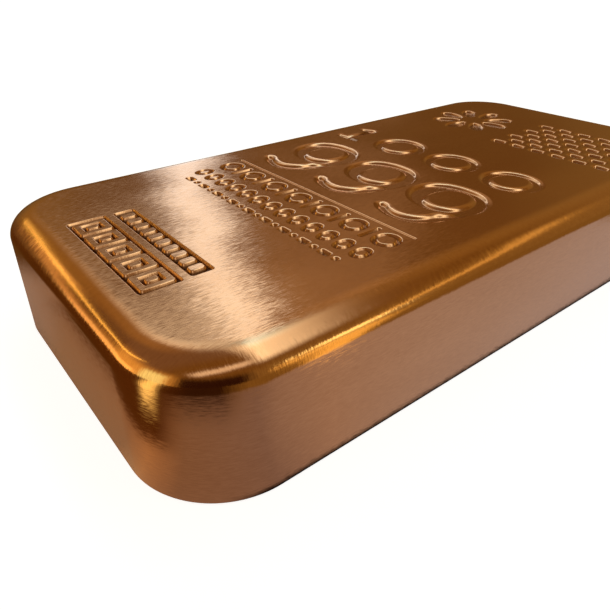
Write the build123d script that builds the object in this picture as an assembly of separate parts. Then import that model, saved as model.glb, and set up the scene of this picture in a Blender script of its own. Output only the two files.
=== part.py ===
from build123d import *
import os
from math import cos, radians, sin, tan

# Copper bullion bar of one kilogram, one solid, in millimetres.
# Origin: middle of the flat underside. X runs along the bar, Z points up.

# Plan outline at the foot, and the overall height.
length = 114.8
width = 57.0
height = 17.7
corner_radius = 11.8

# Edge section: a small rounding at the foot, a slightly leaning side wall,
# and a broad soft shoulder that is wider than it is high.
foot_radius = 0.5
side_draft = 1.0
shoulder_width = 4.2
shoulder_height = 3.2

# Copper's density in kilograms for each cubic millimetre, for the printed weight.
copper_density = 8.96e-6


def edge_section():
    """The section of the bar's edge, x inwards from the outline and y up, and its width."""
    draft = radians(side_draft)

    # The foot's rounding turns from the flat underside into the leaning side wall.
    foot_start = (foot_radius * cos(draft), 0.0)
    wall_start = (0.0, foot_radius * (1 + sin(draft)))

    # The wall leans inwards up to the shoulder, a quarter of an ellipse that ends level.
    wall_end_y = height - shoulder_height
    wall_end_x = (wall_end_y - wall_start[1]) * tan(draft)
    section_width = wall_end_x + shoulder_width

    foot = TangentArc(foot_start, wall_start, tangent=(-1, 0))
    wall = Line(wall_start, (wall_end_x, wall_end_y))
    shoulder = EllipticalCenterArc(
        (section_width, wall_end_y),
        shoulder_width,
        shoulder_height,
        start_angle=90,
        arc_size=90,
    )
    inside = Polyline((section_width, height), (section_width, 0.0), foot_start)
    return make_face(foot + wall + shoulder + inside), section_width


def make_ingot():
    """The edge section swept round the plan outline, and the block that fills its middle."""
    outline = RectangleRounded(length, width, corner_radius).wire()
    section, section_width = edge_section()

    # The section stands across the start of the outline, its x pointing into the bar.
    up = Vector(0, 0, 1)
    inwards = up.cross(outline % 0)
    if inwards.dot(outline @ 0) > 0:
        inwards = -inwards
    across = Plane(origin=outline @ 0, x_dir=inwards, z_dir=inwards.cross(up))
    edge = sweep(across * section, path=outline)

    flat_outline = RectangleRounded(
        length - 2 * section_width,
        width - 2 * section_width,
        corner_radius - section_width,
    )
    return edge + extrude(flat_outline, amount=height)


os.makedirs("parts", exist_ok=True)

ingot = make_ingot()
export_step(ingot, "parts/ingot.step")

size = ingot.bounding_box().size
print(f"ingot {size.X:.2f} x {size.Y:.2f} x {size.Z:.2f} mm")
print(f"solids {len(ingot.solids())}, volume {ingot.volume / 1000:.2f} cm3")
print(f"mass in copper {ingot.volume * copper_density:.4f} kg")
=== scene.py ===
# %% [markdown]
# A small copper bar is about the simplest thing to model, so nearly all of its likeness comes
# from three places: the soft shoulder round its top, the marks pressed into that top, and what
# the brushed metal mirrors. The imported CAD model is loaded first. It fixes the size and the
# place of everything.

# %% The frame
from math import cos, hypot, pi, radians, sin, tan

import bmesh
import bpy
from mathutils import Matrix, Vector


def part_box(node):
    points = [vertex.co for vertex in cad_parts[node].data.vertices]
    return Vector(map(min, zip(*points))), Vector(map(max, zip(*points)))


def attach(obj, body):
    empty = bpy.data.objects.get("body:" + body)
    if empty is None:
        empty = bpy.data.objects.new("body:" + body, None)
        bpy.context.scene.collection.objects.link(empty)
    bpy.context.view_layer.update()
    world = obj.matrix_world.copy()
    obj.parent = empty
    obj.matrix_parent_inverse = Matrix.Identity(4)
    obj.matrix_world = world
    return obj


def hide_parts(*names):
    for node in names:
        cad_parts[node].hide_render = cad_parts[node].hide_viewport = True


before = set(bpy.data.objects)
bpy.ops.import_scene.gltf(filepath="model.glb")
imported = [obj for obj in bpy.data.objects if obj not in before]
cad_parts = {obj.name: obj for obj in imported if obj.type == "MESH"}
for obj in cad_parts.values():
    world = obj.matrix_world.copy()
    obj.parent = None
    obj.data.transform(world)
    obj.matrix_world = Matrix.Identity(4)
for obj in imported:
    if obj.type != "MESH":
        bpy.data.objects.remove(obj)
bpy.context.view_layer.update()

metre = 1000
degrees = 180 / pi
ingot_low, ingot_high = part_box("ingot")
length, width, height = (ingot_high - ingot_low) * metre
print(f"ingot {length:.1f} x {width:.1f} x {height:.1f} mm")

# %% [markdown]
# The second picks vertices, edges or faces in edit mode by a test on their place or their
# normal, as a hand would pick them with the mouse.


# %% Selecting
def deselect_everything():
    if bpy.context.object and bpy.context.object.mode != "OBJECT":
        bpy.ops.object.mode_set(mode="OBJECT")
    bpy.ops.object.select_all(action="DESELECT")


def pick(kind, test):
    """In edit mode, leaves only the vertices, edges or faces selected for which test is true."""
    mesh = bpy.context.object.data
    bpy.ops.mesh.select_mode(type=kind)
    bpy.ops.mesh.select_all(action="DESELECT")
    work = bmesh.from_edit_mesh(mesh)
    chosen = [e for e in {"VERT": work.verts, "EDGE": work.edges, "FACE": work.faces}[kind] if test(e)]
    for element in chosen:
        element.select_set(True)
    work.select_flush_mode()
    bmesh.update_edit_mesh(mesh)
    return len(chosen)


# %% [markdown]
# The bar's edge has a section of its own: a tiny rounding at the foot, a wall that leans in by
# one degree, and a shoulder that is a quarter of an ellipse, wider than it is high. Insetting
# a face keeps its outline parallel and its corners round, and an inset with a depth climbs as
# it goes in, so the section can be walked up step by step from one rounded rectangle. Lofting
# or bevelling a cube would round the plan corners and the shoulder alike, which the bar isn't.

# %% The section of the edge, as steps inwards and upwards
corner_radius = 11.8
corner_steps = 28
foot_radius = 0.5
side_draft = radians(1.0)
shoulder_width = 4.2
shoulder_height = 3.2
shoulder_steps = 20
foot_steps = 4

wall_foot = foot_radius * (1 + sin(side_draft))
wall_top = height - shoulder_height
wall_lean = (wall_top - wall_foot) * tan(side_draft)


def shoulder_point(step):
    """How far in and how far up the shoulder is after so many of its steps."""
    turn = step / shoulder_steps * pi / 2
    return shoulder_width * (1 - cos(turn)), shoulder_height * sin(turn)


def foot_point(step):
    """The same for the foot's rounding, in from the wall and down to the floor."""
    start = -side_draft
    turn = start + step / foot_steps * (pi / 2 - start)
    return foot_radius * (cos(start) - cos(turn)), foot_radius * (sin(turn) - sin(start))


print(f"wall leans in {wall_lean:.2f} mm, flat top starts {wall_lean + shoulder_width:.2f} mm in")

# %% The bar, walked up from its widest outline
deselect_everything()
bpy.ops.mesh.primitive_plane_add(size=1, location=(0, 0, wall_foot))
bar = bpy.context.object
bar.name = "copper_bar"
bar.data.name = "copper_bar"
bar.scale = (length, width, 1)
bpy.ops.object.transform_apply(location=True, rotation=False, scale=True)
bpy.ops.object.mode_set(mode="EDIT")
bpy.ops.mesh.select_all(action="SELECT")
bpy.ops.mesh.bevel(offset=corner_radius, segments=corner_steps, profile=0.5, affect="VERTICES")


def climb(inwards, upwards):
    """Insets the selected face and lifts the new one."""
    bpy.ops.mesh.inset(thickness=inwards, depth=0)
    if upwards:
        bpy.ops.transform.translate(value=(0, 0, upwards))


bpy.ops.mesh.select_all(action="SELECT")
climb(wall_lean, wall_top - wall_foot)
for step in range(shoulder_steps):
    near, far = shoulder_point(step), shoulder_point(step + 1)
    climb(far[0] - near[0], far[1] - near[1])
flat_edge = 0.05
climb(flat_edge, 0)

# %% [markdown]
# The foot is made the same way, from the open edge left at the widest outline. Its face is added
# again and walked down and in, so that wall, rounding and underside stay one closed skin.

# %% The foot, walked down from the same outline
pick("EDGE", lambda e: e.is_boundary)
bpy.ops.mesh.edge_face_add()
for step in range(foot_steps):
    near, far = foot_point(step), foot_point(step + 1)
    climb(far[0] - near[0], near[1] - far[1])
climb(flat_edge, 0)
bpy.ops.mesh.select_all(action="SELECT")
bpy.ops.mesh.normals_make_consistent(inside=False)
bpy.ops.object.mode_set(mode="OBJECT")
levels = [v.co.z for v in bar.data.vertices]
print(f"bar {len(bar.data.polygons)} faces, from {min(levels):.2f} to {max(levels):.2f} mm")

# %% [markdown]
# A stamp presses its figures into the cold metal with soft, rounded walls. They are too coarse
# for a bump: at this distance their walls catch the light and hide the floor behind them. The
# outlines are drawn flat on the top face, in the reader's directions, u to the right and v up.
# The reader stands at the near end of the bar, so u runs along -Y and v along +X.

# %% Outlines to press in
patterns = []
marks = []


def finish_outline(name):
    """Keeps the edges of the object being edited and sets it aside as a pattern."""
    if bpy.context.object.mode != "OBJECT":
        bpy.ops.object.mode_set(mode="OBJECT")
    pattern = bpy.context.object
    pattern.name = name
    patterns.append(pattern)
    return pattern


# %% Ovals and rounded slabs
def oval(name, wide, high, points, hole=None):
    """An oval, with a smaller oval inside it where hole gives its two sizes."""
    deselect_everything()
    bpy.ops.mesh.primitive_circle_add(vertices=points, radius=0.5, fill_type="NOTHING")
    bpy.ops.object.mode_set(mode="EDIT")
    bpy.ops.transform.resize(value=(wide, high, 1))
    if hole:
        bpy.ops.mesh.select_all(action="DESELECT")
        bpy.ops.mesh.primitive_circle_add(vertices=points, radius=0.5, fill_type="NOTHING")
        bpy.ops.transform.resize(value=(hole[0], hole[1], 1))
    return finish_outline(name)


def slab(name, wide, high, corner, hole=None):
    """A bar with rounded corners, with a smaller one inside it where hole gives its sizes."""
    deselect_everything()
    bpy.ops.mesh.primitive_plane_add(size=1)
    bpy.ops.object.mode_set(mode="EDIT")
    for size in filter(None, [(wide, high), hole]):
        if size == hole:
            bpy.ops.mesh.select_all(action="DESELECT")
            bpy.ops.mesh.primitive_plane_add(size=1)
        bpy.ops.transform.resize(value=(size[0], size[1], 1))
        bpy.ops.mesh.bevel(offset=corner, segments=4, profile=0.5, affect="VERTICES")
        bpy.ops.mesh.delete(type="ONLY_FACE")
    return finish_outline(name)


# %% Lines drawn by hand
def drawn(name, *loops, smooth=6):
    """Closed lines through points given in millimetres. A third value marks a sharp corner."""
    deselect_everything()
    curve = bpy.data.curves.new(name, "CURVE")
    curve.dimensions = "2D"
    curve.fill_mode = "NONE"
    curve.resolution_u = smooth
    for points in loops:
        line = curve.splines.new("BEZIER")
        line.bezier_points.add(len(points) - 1)
        line.use_cyclic_u = True
        for knot, (u, v, *corner) in zip(line.bezier_points, points):
            knot.co = (u, v, 0)
            knot.handle_left_type = knot.handle_right_type = "VECTOR" if corner else "AUTO"
    shape = bpy.data.objects.new(name, curve)
    bpy.context.scene.collection.objects.link(shape)
    bpy.context.view_layer.objects.active = shape
    shape.select_set(True)
    bpy.ops.object.convert(target="MESH")
    return finish_outline(name)


def grown(points, by):
    """The same closed line, moved outwards by so many millimetres, or inwards where by is negative."""
    befores, afters = points[-1:] + points[:-1], points[1:] + points[:1]
    area = sum(p[0] * q[1] - p[1] * q[0] for p, q in zip(points, afters))
    moved = []
    for before, knot, after in zip(befores, points, afters):
        u, v = after[0] - before[0], after[1] - before[1]
        move = by / hypot(u, v) * (1 if area > 0 else -1)
        moved.append((knot[0] + v * move, knot[1] - u * move, *knot[2:]))
    return moved


# %% Laying a mark on the top face
def press(pattern, u, v, turn=0.0):
    """Lays a copy of a pattern on the top face, with its own mesh."""
    copy = pattern.copy()
    copy.data = pattern.data.copy()
    bpy.context.scene.collection.objects.link(copy)
    copy.location = (v, -u, height)
    copy.rotation_euler = (0, 0, radians(turn - 90))
    marks.append(copy)


# %% [markdown]
# The large figures are plain nines in an old style, thick at the sides and thin across, and
# the row above them counts the bar's thousand grams. The nine is drawn once, along the bright
# line on its rim, and then grown by the lip that leads down to that line.

# %% The figures
rim = 0.3
nine_outside = [
    (-6.4, 0.3), (-6.0, 2.4), (-4.6, 4.1), (-2.4, 5.1), (0.0, 5.35), (2.6, 4.95), (4.7, 3.6),
    (6.0, 1.5), (6.35, -0.9), (6.0, -3.6), (5.2, -6.6), (3.9, -9.3), (1.9, -11.1),
    (-0.6, -11.5), (-2.9, -11.1), (-4.7, -10.3), (-5.4, -9.4), (-4.9, -8.5), (-3.9, -8.5),
    (-2.4, -9.2), (-0.8, -9.5), (0.7, -9.0), (1.9, -7.8), (2.6, -6.0), (2.95, -4.9, 1),
    (1.6, -5.35), (-0.4, -5.5), (-2.8, -5.0), (-4.9, -3.6), (-6.1, -1.7),
]
nine_inside = [
    (-2.65, -0.3), (-2.35, 1.6), (-1.4, 2.9), (0.35, 3.35), (1.9, 2.8), (3.0, 1.2),
    (3.2, -0.9), (2.65, -2.6), (1.6, -3.4), (0.35, -3.7), (-1.0, -3.4), (-2.2, -2.2),
]
nine = drawn("nine", grown(nine_outside, rim), grown(nine_inside, -rim), smooth=8)
zero = oval("zero", 10.6, 9.6, 96, hole=(5.0, 5.4))
one = drawn(
    "one",
    [
        (-3.1, -4.4, 1), (3.1, -4.4, 1), (3.1, -2.5, 1), (1.2, -2.5, 1), (1.2, 4.4, 1), (-0.6, 4.4, 1),
        (-3.0, 3.4, 1), (-3.0, 1.5, 1), (-1.2, 1.9, 1), (-1.2, -2.5, 1), (-3.1, -2.5, 1),
    ],
    smooth=3,
)
for u in (-14.0, -0.2, 13.6):
    press(nine, u, -4.0)
press(one, -19.2, 9.2)
for u in (-8.6, 3.3, 15.1):
    press(zero, u, 9.2)
print(f"{len(marks)} figures, the nine drawn with {len(nine.data.vertices)} points")

# %% [markdown]
# Three bands of ornament lie below the figures. The broad one alternates beads and reels, as a
# moulding does, under a thin fillet. Under it run a chain of rings and a row of dots and dashes.

# %% The ornament bands
bead = oval("bead", 4.2, 4.4, 40, hole=(1.9, 2.1))
reel = slab("reel", 1.1, 4.2, 0.5)
fillet = slab("fillet", 40.4, 0.6, 0.28)
for count in range(7):
    press(bead, -18.0 + 6.0 * count, -21.3)
for count in range(6):
    press(reel, -15.0 + 6.0 * count, -21.3)
press(fillet, 0.0, -18.2)

ring = oval("ring", 2.75, 3.6, 32, hole=(0.6, 1.4))
dot = oval("dot", 1.35, 1.35, 20)
dash = slab("dash", 2.2, 1.45, 0.5)
for count in range(13):
    press(ring, -18.6 + 3.1 * count, -26.2)
for count in range(9):
    press(dash, -17.0 + 4.1 * count, -29.6)
    press(dot, -14.95 + 4.1 * count, -29.6)

# %% [markdown]
# Near the end of the bar is a small stamped panel in two parts. Here the ground is sunk and the
# ornament stands up from it, level with the face of the bar, so its outlines are islands.

# %% The small panel
ground = slab("ground", 23.0, 5.5, 0.5)
strip = slab("strip", 22.6, 3.2, 0.5)
island = slab("island", 1.0, 1.7, 0.25)
frame_square = slab("frame_square", 3.5, 4.0, 0.25, hole=(2.3, 2.8))
post = slab("post", 0.75, 1.3, 0.2)
press(ground, 0.0, -48.6)
press(strip, 0.0, -43.4)
for count in range(10):
    press(island, -9.45 + 2.1 * count, -43.4)
for count in range(5):
    press(frame_square, -8.8 + 4.4 * count, -48.6)
    press(post, -8.8 + 4.4 * count, -48.6)

# %% [markdown]
# The far end is decorated too: an eight-petalled rosette and a field of scales. One petal and one
# scale are drawn, and loops turn and set out the rest. The scales tilt a little to and fro, because
# a hand-cut stamp is never quite even, and that keeps them from flashing all at once.

# %% The far end
petal = drawn(
    "petal",
    [(0, 2.2), (0.95, 2.9), (1.7, 5.0), (1.55, 7.4), (0, 8.6), (-1.55, 7.4), (-1.7, 5.0), (-0.95, 2.9)],
)
scale = slab("scale", 3.5, 2.25, 1.0)
for count in range(8):
    press(petal, -12.5, 35.5, turn=45 * count)
for row in range(7):
    for count in range(6 - row % 2):
        press(scale, 0.6 + 4.0 * count + 2.0 * (row % 2), 26.5 + 2.7 * row, turn=5 * (-1) ** count)
print(f"{len(marks)} marks from {len(patterns)} outlines")

# %% [markdown]
# The outlines become part of the bar's top. The flat face gives way to its outline alone, the
# marks join it, and Fill spans everything between them with triangles, islands included. Then
# each band of marks is filled in its turn and walked down by insets, the same way as the
# shoulder was walked up. A hair's breadth of flat above and below each wall keeps the smooth
# shading of the wall out of the flat ground, where it would show as a smear.

# %% Joining the marks to the top face
face_level = height - 0.001


def on_face(edge):
    return all(v.co.z > face_level for v in edge.verts)


deselect_everything()
bpy.context.view_layer.objects.active = bar
bpy.ops.object.mode_set(mode="EDIT")
pick("FACE", lambda f: on_face(f) and len(f.verts) > 4)
bpy.ops.mesh.delete(type="ONLY_FACE")
deselect_everything()
for mark in [*marks, bar]:
    mark.select_set(True)
bpy.context.view_layer.objects.active = bar
bpy.ops.object.join()
for pattern in patterns:
    bpy.data.objects.remove(pattern)
bpy.ops.object.mode_set(mode="EDIT")
count = pick("EDGE", lambda e: on_face(e) and len(e.link_faces) < 2)
bpy.ops.mesh.fill(use_beauty=True)
left_over = pick("EDGE", lambda e: not e.link_faces)
print(f"{count} edges on the top face, {left_over} of them left over")

# %% [markdown]
# The wall of a mark isn't one slope. Metal that a stamp draws down bends over a broad, flat lip,
# falls steeply, and rounds off into the ground. The lip does most of the work in the picture: it
# is the part that leans just enough to mirror the window. So each wall is written as steps, with
# how far each goes in, in millimetres, and how steep it is, in degrees.

# %% The walls of the marks
figure_wall = [(0.08, 6), (0.25, 13), (0.25, 18), (0.12, 30), (0.20, 42), (0.10, 22)]
small_figure_wall = [(0.06, 6), (0.22, 13), (0.20, 18), (0.10, 30), (0.18, 42), (0.08, 22)]
band_wall = [(0.05, 8), (0.08, 15), (0.08, 26), (0.22, 62), (0.05, 26)]
fillet_wall = [(0.05, 10), (0.10, 24), (0.08, 45)]
panel_wall = [(0.04, 12), (0.08, 28), (0.17, 71), (0.03, 35)]
far_wall = [(0.05, 8), (0.20, 15), (0.16, 24), (0.22, 55), (0.05, 26)]

print(f"a figure's wall is {sum(inwards for inwards, slope in figure_wall):.2f} mm wide")

# %% Sinking them
lip = 0.02


def sink(near, far, wall):
    """Fills the outlines between two places along the bar and sinks them behind their walls."""
    depth = sum(inwards * tan(radians(slope)) for inwards, slope in wall)

    def outline_at(level):
        def test(edge):
            middle = (edge.verts[0].co + edge.verts[1].co) / 2
            return len(edge.link_faces) == 1 and abs(middle.z - level) < 0.001 and near < middle.x < far

        return test

    pick("EDGE", outline_at(height))
    bpy.ops.mesh.fill(use_beauty=True)
    climb(lip, 0)
    for inwards, slope in wall:
        climb(inwards, -inwards * tan(radians(slope)))
    climb(lip, 0)
    bpy.ops.mesh.delete(type="FACE")
    count = pick("EDGE", outline_at(height - depth))
    bpy.ops.mesh.fill(use_beauty=True)
    print(f"marks from {near} to {far} mm: {depth:.2f} mm deep, {count} edges round their floors")


sink(-52, -45.4, panel_wall)
sink(-45.4, -41, panel_wall)
sink(-31, -24, band_wall)
sink(-24, -19.0, band_wall)
sink(-19.0, -17, fillet_wall)
sink(-16.5, 3, figure_wall)
sink(4, 15, small_figure_wall)
sink(24, 47, far_wall)

# %% [markdown]
# Until here the bar was in millimetres, because sizes like these are easier to read and to merge.
# Now its seams are closed, its faces are turned outwards, and it shrinks to metres about the
# origin. That keeps its place in its mesh, as the CAD node has it.

# %% Closing the mesh and shrinking it to metres
bpy.ops.mesh.select_mode(type="VERT")
bpy.ops.mesh.select_all(action="SELECT")
bpy.ops.mesh.remove_doubles(threshold=0.0005)
bpy.ops.mesh.normals_make_consistent(inside=False)
bpy.ops.transform.resize(value=(1 / metre,) * 3, center_override=(0, 0, 0))
open_edges = pick("EDGE", lambda e: len(e.link_faces) != 2)
bpy.ops.object.mode_set(mode="OBJECT")
bpy.ops.object.shade_smooth()
bar.data.calc_loop_triangles()
print(f"bar {len(bar.data.loop_triangles)} triangles, {open_edges} open edges")

# %% [markdown]
# A material is a small program. Written with plain Python signs it is easier to read than a
# web of nodes, so one class wraps a socket, and each sign adds the Math node that it names.


# %% Shader maths
class Wire:
    """A socket that can be added, multiplied and so on."""

    tree = None

    def __init__(self, socket):
        self.socket = socket

    @classmethod
    def node(cls, kind, values=None, output=0, stops=(), **settings):
        """Adds a node: its settings or its ramp's stops first, then the values or wires of its sockets."""
        made = cls.tree.nodes.new(kind)
        for name, setting in settings.items():
            setattr(made, name, setting)
        for index, (position, colour) in enumerate(stops):
            points = made.color_ramp.elements
            point = points[index] if index < 2 else points.new(position)
            point.position = position
            point.color = (*colour, 1)
        for name, value in (values or {}).items():
            if isinstance(value, cls):
                cls.tree.links.new(value.socket, made.inputs[name])
            else:
                made.inputs[name].default_value = value
        return cls(made.outputs[output]) if len(made.outputs) else made

    def maths(self, operation, *others, first=None):
        values = dict(enumerate([self if first is None else first, *others]))
        return self.node("ShaderNodeMath", values, operation=operation)

    def __add__(self, other):
        return self.maths("ADD", other)

    def __sub__(self, other):
        return self.maths("SUBTRACT", other)

    def __rsub__(self, other):
        return self.maths("SUBTRACT", self, first=other)

    def __mul__(self, other):
        return self.maths("MULTIPLY", other)

    def __lt__(self, other):
        return self.maths("LESS_THAN", other)

    __radd__ = __add__
    __rmul__ = __mul__

    def between(self, low, high):
        """0 below low, 1 above high, and a soft step from one to the other."""
        values = {"Value": self, "From Min": low, "From Max": high}
        return self.node("ShaderNodeMapRange", values, interpolation_type="SMOOTHSTEP")

    def inside(self, low, high, soft):
        """1 between low and high, 0 outside, with soft edges."""
        return self.between(low - soft, low + soft) * (1 - self.between(high - soft, high + soft))

    def blend(self, first, second):
        """The first colour where this wire is 0, and the second where it is 1."""
        values = {0: self, 6: first, 7: second}
        return self.node("ShaderNodeMix", values, output=2, data_type="RGBA")


# %% Shader maths for colours and directions
def vectors(operation, *values):
    """A Vector Math node."""
    return Wire.node("ShaderNodeVectorMath", dict(enumerate(values)), operation=operation)


def scaled(vector, factor):
    """A colour or direction times a number."""
    return Wire.node("ShaderNodeVectorMath", {0: vector, 3: factor}, operation="SCALE")


def parts(vector):
    """The three numbers of a vector."""
    return [Wire.node("ShaderNodeSeparateXYZ", {"Vector": vector}, output=axis) for axis in "XYZ"]


def new_material(name):
    made = bpy.data.materials.new(name)
    made.use_nodes = True
    made.node_tree.nodes.clear()
    Wire.tree = made.node_tree
    return made


# %% [markdown]
# The bar was brushed after it was cast: lengthwise along the top, round the side walls, and
# across the shoulder, where the brush comes over the edge. Each scratch is far longer than it is
# wide, so the pattern is noise on coordinates that are squeezed along the scratch. An
# anisotropic shader would give the blur alone. Here each streak really leans the surface a
# little, so it glints, and highlights break up into threads at their edges, as they do on metal.

# %% Brushed copper: the streaks
copper = new_material("brushed_copper")
place = Wire.node("ShaderNodeTexCoord", output="Object")
along, across, up = parts(place)


def noise(stretch, scale, detail=2.0, roughness=0.5, output=0):
    """Soft noise over the piece, with its coordinates in metres stretched first."""
    spread = vectors("MULTIPLY", place, stretch)
    values = {"Vector": spread, "Scale": scale, "Detail": detail, "Roughness": roughness}
    return Wire.node("ShaderNodeTexNoise", values, output=output)


def streaks(stretch):
    """Two numbers that vary over the piece in fine streaks, each about 0 on average."""
    colours = noise(stretch, 8500, detail=3.0, roughness=0.62, output=1)
    return parts(vectors("SUBTRACT", colours, (0.5, 0.5, 0.5)))[:2]


top_long, top_wide = streaks((0.12, 1.0, 1.0))
wall_long, wall_wide = streaks((0.11, 0.11, 1.0))
side_long, side_wide = streaks((1.0, 0.12, 0.12))
end_long, end_wide = streaks((0.12, 1.0, 0.12))

# %% [markdown]
# The brush changes direction at the shoulder, so each direction gets a mask. The top's holds where
# the surface looks nearly straight up, and the walls' holds below the shoulder.

# %% Brushed copper: where each direction of brushing holds
normal = Wire.node("ShaderNodeNewGeometry", output="Normal")
normal_x, normal_y, normal_z = parts(normal)
on_top = normal_z.between(0.955, 0.998)
on_wall = 1 - up.between((height - 4.2) / metre, (height - 1.8) / metre)
on_shoulder = 1 - on_wall
facing_end = (normal_x.maths("ABSOLUTE") - normal_y.maths("ABSOLUTE")).between(-0.25, 0.25)
cross_long = facing_end * end_long + (1 - facing_end) * side_long
cross_wide = facing_end * end_wide + (1 - facing_end) * side_wide

# %% [markdown]
# To lean the surface, a little of the sideways and upwards directions is added to its normal: how
# much is given along the brushing and across it. A second, slow noise makes the top gently uneven,
# which gives the window's reflection the wandering edges that a hand-finished bar has.

# %% Brushed copper: leaning the surface
sideways = vectors("CROSS_PRODUCT", (0.0, 0.0, 1.0), normal)
upwards = vectors("SUBTRACT", (0.0, 0.0, 1.0), scaled(normal, normal_z))
slow_noise = noise((0.8, 1.0, 1.0), 75, output=1)
wave_x, wave_y = parts(vectors("SUBTRACT", slow_noise, (0.5, 0.5, 0.5)))[:2]

waviness = 0.11
top_along, top_across = 0.16, 0.42
wall_along, wall_across = 0.09, 0.30
shoulder_along, shoulder_across = 0.12, 0.18
lean_x = top_along * top_long + waviness * wave_x
lean_y = top_across * top_wide + waviness * wave_y
lean_top = Wire.node("ShaderNodeCombineXYZ", {"X": lean_x, "Y": lean_y})
lean_wall = vectors(
    "ADD",
    scaled(sideways, wall_along * wall_long),
    scaled(upwards, wall_across * wall_wide),
)
lean_shoulder = vectors(
    "ADD",
    scaled(sideways, shoulder_across * cross_wide),
    scaled(upwards, shoulder_along * cross_long),
)
lean_edge = vectors("ADD", scaled(lean_wall, on_wall), scaled(lean_shoulder, on_shoulder))
lean = vectors("ADD", scaled(lean_top, on_top), scaled(lean_edge, 1 - on_top))
brushed = vectors("NORMALIZE", vectors("ADD", normal, lean))
print(f"brushing takes {len(copper.node_tree.nodes)} nodes")

# %% [markdown]
# Copper's colour is nearly all reflection, so it varies little over the bar: a touch paler where
# a scratch is fresh, and duller in the marks, where no brush reaches. In the marks it is also darker
# brown a little way below the face, by a share set for each group of marks. The small panel is the
# deepest and is nearly brown inside.

# %% Brushed copper: colour and finish
thread = on_top * top_wide + (1 - on_top) * (on_wall * wall_wide + on_shoulder * cross_wide)
cloud = noise((0.25, 1.0, 1.0), 90, detail=3.0)
shade = (0.5 + 1.5 * thread + 0.8 * (cloud - 0.5)).between(0.0, 1.0)
worn, fresh, brown = (0.72, 0.355, 0.165, 1), (0.90, 0.49, 0.255, 1), (0.13, 0.05, 0.02, 1)
clean = shade.blend(worn, fresh)


def within(half_length, half_width):
    """1 over a rectangle in the middle of the top, given in millimetres from its centre."""
    return (along.maths("ABSOLUTE") < half_length / metre) * (across.maths("ABSOLUTE") < half_width / metre)


def beyond(start, end):
    """0 before one place along the bar and 1 after the other, both in millimetres."""
    return along.between(start / metre, end / metre)


in_top = within(46, 22.9).maths("MAXIMUM", within(52.5, 12.5))
deepest = height - 1.0
below_face = 1 - up.between((height - 0.42) / metre, (height - 0.16) / metre)
sunk = in_top * below_face * (1 - (up < deepest / metre))
in_panel = 1 - beyond(-40.5, -40.0)
in_bands = 1 - beyond(-17.2, -16.8)
in_far_end = beyond(19.5, 20.5)
dark = sunk * (0.15 + 0.45 * in_bands + 0.35 * in_panel + 0.35 * in_far_end)
colour = dark.blend(clean, brown)
roughness = 0.14 + 0.08 * thread + 0.2 * dark
surface = Wire.node(
    "ShaderNodeBsdfPrincipled",
    {"Base Color": colour, "Metallic": 1.0, "Roughness": roughness, "Normal": brushed},
)
Wire.node("ShaderNodeOutputMaterial", {"Surface": surface})
bar.data.materials.append(copper)
print(f"brushed copper has {len(copper.node_tree.nodes)} nodes")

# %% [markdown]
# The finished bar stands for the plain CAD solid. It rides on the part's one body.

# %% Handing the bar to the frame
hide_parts("ingot")
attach(bar, "root")

print("the copper bar replaces the ingot")

# %% [markdown]
# The bar stands on a sheet of white paper that fades to nothing, so the camera sees plain white
# with a faint shadow. Polished walls mirror that paper too, and there it must not be white all
# over: near the bar it lies in the bar's own shade, and at the foot it is almost black. So rays
# that leave the metal get a paper of their own, warmer before the end and greyer along the side.

# %% The floor
deselect_everything()
bpy.ops.mesh.primitive_plane_add(size=8, location=(0, 0, 0))
floor = bpy.context.object
floor.name = "floor"
paper = new_material("pale_paper")
straight_x, straight_y = length / 2 - corner_radius, width / 2 - corner_radius
floor_x, floor_y = parts(Wire.node("ShaderNodeTexCoord", output="Object"))[:2]
out_x = (metre * floor_x.maths("ABSOLUTE") - straight_x).maths("MAXIMUM", 0.0)
out_y = (metre * floor_y.maths("ABSOLUTE") - straight_y).maths("MAXIMUM", 0.0)
away = (out_x * out_x + out_y * out_y).maths("SQRT") - corner_radius
round_corner = out_y.maths("ARCTAN2", out_x) * degrees
before_end = 1 - round_corner.between(6, 36)
before_side = round_corner.between(62, 86)


# Round the near-left corner, in degrees from the X axis: 180 is before the end, 270 before the side.
from_corner = (metre * floor_y + straight_y).maths("ARCTAN2", metre * floor_x + straight_x) * degrees
round_it = (from_corner + 360).maths("FLOORED_MODULO", 360)


def round_tones(*tones):
    """A colour for each of some angles round the corner, blended from one to the next."""
    return Wire.node(
        "ShaderNodeValToRGB",
        {"Fac": round_it * (1 / 360)},
        stops=[(angle / 360, tone) for angle, tone in tones],
    )


# Painted reflection: the tones of the paper as the metal mirrors it, round the corner, paler near the bar
# and darker further off, with a painted shadow at the foot of the side.
side_shade, end_shade = (0.42, 0.40, 0.43), (0.30, 0.17, 0.085)
near_tone = round_tones(
    (0, side_shade),
    (100, (0.34, 0.24, 0.18)),
    (115, end_shade),
    (160, end_shade),
    (184, (0.45, 0.27, 0.13)),
    (212, (0.26, 0.18, 0.13)),
    (270, (0.25, 0.20, 0.20)),
    (304, (0.41, 0.345, 0.325)),
    (345, side_shade),
)
side_light, end_light, corner_light = (0.23, 0.14, 0.035), (0.09, 0.032, 0.005), (0.036, 0.014, 0.004)
far_tone = round_tones(
    (0, side_light),
    (60, side_light),
    (110, end_light),
    (186, end_light),
    (216, corner_light),
    (242, corner_light),
    (266, side_light),
)
fade_at_end = away.between(4, 7.5)
fade_at_corner = away.between(9, 23)
fade_at_side = away.between(17, 26)
fade_elsewhere = before_side * fade_at_side + (1 - before_side) * fade_at_corner
fade = before_end * fade_at_end + (1 - before_end) * fade_elsewhere
contact = 1 - round_it.between(235, 265) * (1 - away.between(0.15, 0.75))
shaded = scaled(fade.blend(near_tone, far_tone), contact)
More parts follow.
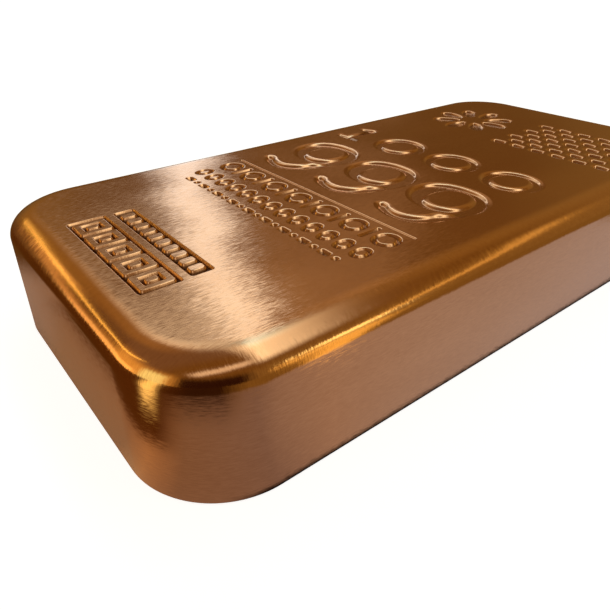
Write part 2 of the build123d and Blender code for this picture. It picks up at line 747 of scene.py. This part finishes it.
# Painted highlights: two bright warm patches on the paper that only the metal mirrors, one before the end
# and one beside the side.
end_glow = round_it.inside(174, 188, 5) * away.between(9, 21)
side_glow = round_it.inside(298, 309, 4) * away.between(15, 24)
glows = vectors("ADD", scaled((1.44, 1.3, 0.5), end_glow), scaled((1.05, 0.75, 0.19), side_glow))
mirrored_paper = vectors("ADD", shaded, glows)

lit = Wire.node("ShaderNodeBsdfDiffuse", {"Color": (0.5, 0.5, 0.5, 1)})
camera_ray = Wire.node("ShaderNodeLightPath", output="Is Camera Ray")
glossy_ray = Wire.node("ShaderNodeLightPath", output="Is Glossy Ray")
plain = Wire.node("ShaderNodeEmission", {"Color": (1, 1, 1, 1), "Strength": 0.9 * camera_ray})
seen_plain = Wire.node("ShaderNodeAddShader", {0: lit, 1: plain})
seen_mirrored = Wire.node("ShaderNodeEmission", {"Color": mirrored_paper, "Strength": 1.0})
paper_shader = Wire.node("ShaderNodeMixShader", {0: glossy_ray, 1: seen_plain, 2: seen_mirrored})
Wire.node("ShaderNodeOutputMaterial", {"Surface": paper_shader})
floor.data.materials.append(paper)
print(f"paper has {len(paper.node_tree.nodes)} nodes")

# %% [markdown]
# A polished bar shows its studio, so the studio is the light. It is painted in the world, by
# direction: walls of a dim warm room, a tall soft window beyond the bar, and a few low golden
# lamps. Painted light has no place of its own, so each reflection stays where it is put. Two
# angles are handy. `turn` is the compass direction from the X axis, and `over` is the angle
# round the bar's length, from the far side over the top. With `rx`, the share of the direction
# along the bar, `over` suits the window, because lengthwise brushing smears a light along it.

# %% The room
world = bpy.data.worlds.new("studio")
bpy.context.scene.world = world
world.use_nodes = True
world.node_tree.nodes.clear()
Wire.tree = world.node_tree
rx, ry, rz = parts(Wire.node("ShaderNodeTexCoord", output="Generated"))
elevation = rz.maths("ARCSINE") * degrees
turn = ry.maths("ARCTAN2", rx) * degrees
over = rz.maths("ARCTAN2", ry) * degrees
full_turn = (turn + 360).maths("FLOORED_MODULO", 360)

behind_camera, right_wall, far_right_wall = (0.030, 0.010, 0.004), (0.255, 0.16, 0.045), (0.15, 0.075, 0.018)
far_wall_colour, left_wall, end_wall = (0.16, 0.095, 0.035), (0.13, 0.065, 0.02), (0.88, 0.53, 0.12)
corners = [
    (-89, behind_camera, right_wall),
    (23, right_wall, far_right_wall),
    (72, far_right_wall, far_wall_colour),
    (101, far_wall_colour, left_wall),
    (127, left_wall, end_wall),
    (198, end_wall, behind_camera),
]
softness, ramp_start = 8, -120
stops = []
for angle, before, after in corners:
    stops.append(((angle - softness - ramp_start) / 360, before))
    stops.append(((angle + softness - ramp_start) / 360, after))
round_room = (turn - ramp_start + 360).maths("FLOORED_MODULO", 360) * (1 / 360)
walls = Wire.node("ShaderNodeValToRGB", {"Fac": round_room}, stops=stops)
ceiling = (-1 * ry).between(-0.2, 0.2).blend(
    rx.between(0.2, 0.8).blend((0.20, 0.12, 0.06, 1), (0.27, 0.16, 0.04, 1)),
    (0.19, 0.10, 0.02, 1),
)
room = elevation.between(21, 43).blend(walls, ceiling)

# %% [markdown]
# Each light is a colour and a shape on that sky, added to the room. The window and the skylight
# over it are cool. The lamps are low and golden, and the slanting ones give the shoulder its thin
# bright lines. A colour over 1 is brighter than white paper.

# %% The window and what is round it
lights = [
    ("window", (1.15, 1.45, 1.7), rx.inside(0.38, 0.455, 0.035) * over.inside(-3, 67, 8)),
    ("top pane", (0.0, 0.55, 1.0), rx.inside(0.34, 0.46, 0.035) * over.inside(60, 80, 8)),
    ("skylight", (1.45, 1.65, 1.55), rx.inside(0.27, 0.49, 0.12) * over.inside(69, 128, 11)),
    ("pale wall", (0.6, 0.77, 0.82), rx.inside(0.08, 0.385, 0.10) * over.inside(33, 62, 15)),
    ("glow beside the window", (0.13, 0.11, 0.08), rx.inside(0.46, 0.70, 0.05) * over.inside(25, 65, 12)),
    ("warm wall", (0.125, 0.07, 0.005), rx.inside(-0.2, 0.2, 0.1) * over.inside(8, 60, 12)),
]
print(f"{len(lights)} lights round the window")

# %% The lamps, the boards and a slit over them
side_lamp_line = elevation - 15 - 0.45 * (turn + 53)
end_lamp_line = elevation - 22.3 - 0.55 * (turn - 119).maths("MAXIMUM", 0.0)
low_end_lamp_line = elevation - 14 + 1.1 * (turn - 114)
lights += [
    ("side lamp", (0.75, 0.55, 0.16), side_lamp_line.inside(-2.4, 2.4, 1.4) * turn.inside(-66, -15, 7)),
    ("side lamp's core", (1.6, 1.7, 0.9), elevation.inside(9, 18, 2) * turn.inside(-60, -51, 2)),
    ("end lamp", (1.9, 1.45, 0.36), end_lamp_line.inside(-1.3, 1.3, 1.0) * turn.inside(95, 150, 6)),
    ("low end lamp", (0.80, 0.50, 0.17), low_end_lamp_line.inside(-3, 3, 1.5) * turn.inside(104, 123, 3)),
    ("end shelf", (0.85, 0.60, 0.24), turn.inside(122, 158, 3) * (1 - elevation.between(7, 13))),
    ("end board", (0.30, 0.75, 0.48), full_turn.inside(165, 190, 5) * (1 - elevation.between(24, 34))),
    ("side board", (1.0, 0.75, 0.22), turn.inside(-64, -53, 3) * (1 - elevation.between(4, 10))),
    ("high slit", (0.75, 0.80, 0.76), rx.inside(-0.62, 0.18, 0.08) * over.inside(114, 126, 4)),
]
painted = room
for name, tint, shape in lights:
    painted = vectors("ADD", painted, scaled(tint, shape))
print(f"{len(lights)} lights in all: " + ", ".join(name for name, tint, shape in lights))

# %% The world
seen = Wire.node("ShaderNodeLightPath", output="Is Camera Ray")
dim = Wire.node("ShaderNodeBackground", {"Color": painted, "Strength": 1.0})
white = Wire.node("ShaderNodeBackground", {"Color": (1, 1, 1, 1), "Strength": 1.0})
sky = Wire.node("ShaderNodeMixShader", {0: seen, 1: dim, 2: white})
Wire.node("ShaderNodeOutputWorld", {"Surface": sky})
print(f"the world has {len(world.node_tree.nodes)} nodes")

# %% [markdown]
# The camera looks down at the near corner from close by, through a wide lens, which is why the
# near end looms and the far end shrinks. A bar this small fills the frame from 5 cm away.

# %% The camera
eye = bpy.data.cameras.new("camera")
eye.lens = 33.145
eye.sensor_width = 36
eye.clip_start = 0.005
eye.clip_end = 50
camera = bpy.data.objects.new("camera", eye)
bpy.context.scene.collection.objects.link(camera)
camera.location = (-0.068846, -0.061633, 0.048189)
looking_down, heading = 32.178, 51.629
camera.rotation_euler = (radians(90 - looking_down), 0, radians(heading - 90))
bpy.context.scene.camera = camera
bpy.context.scene.view_settings.view_transform = "Standard"
print(f"camera {camera.location.length * metre:.0f} mm from the middle of the underside")
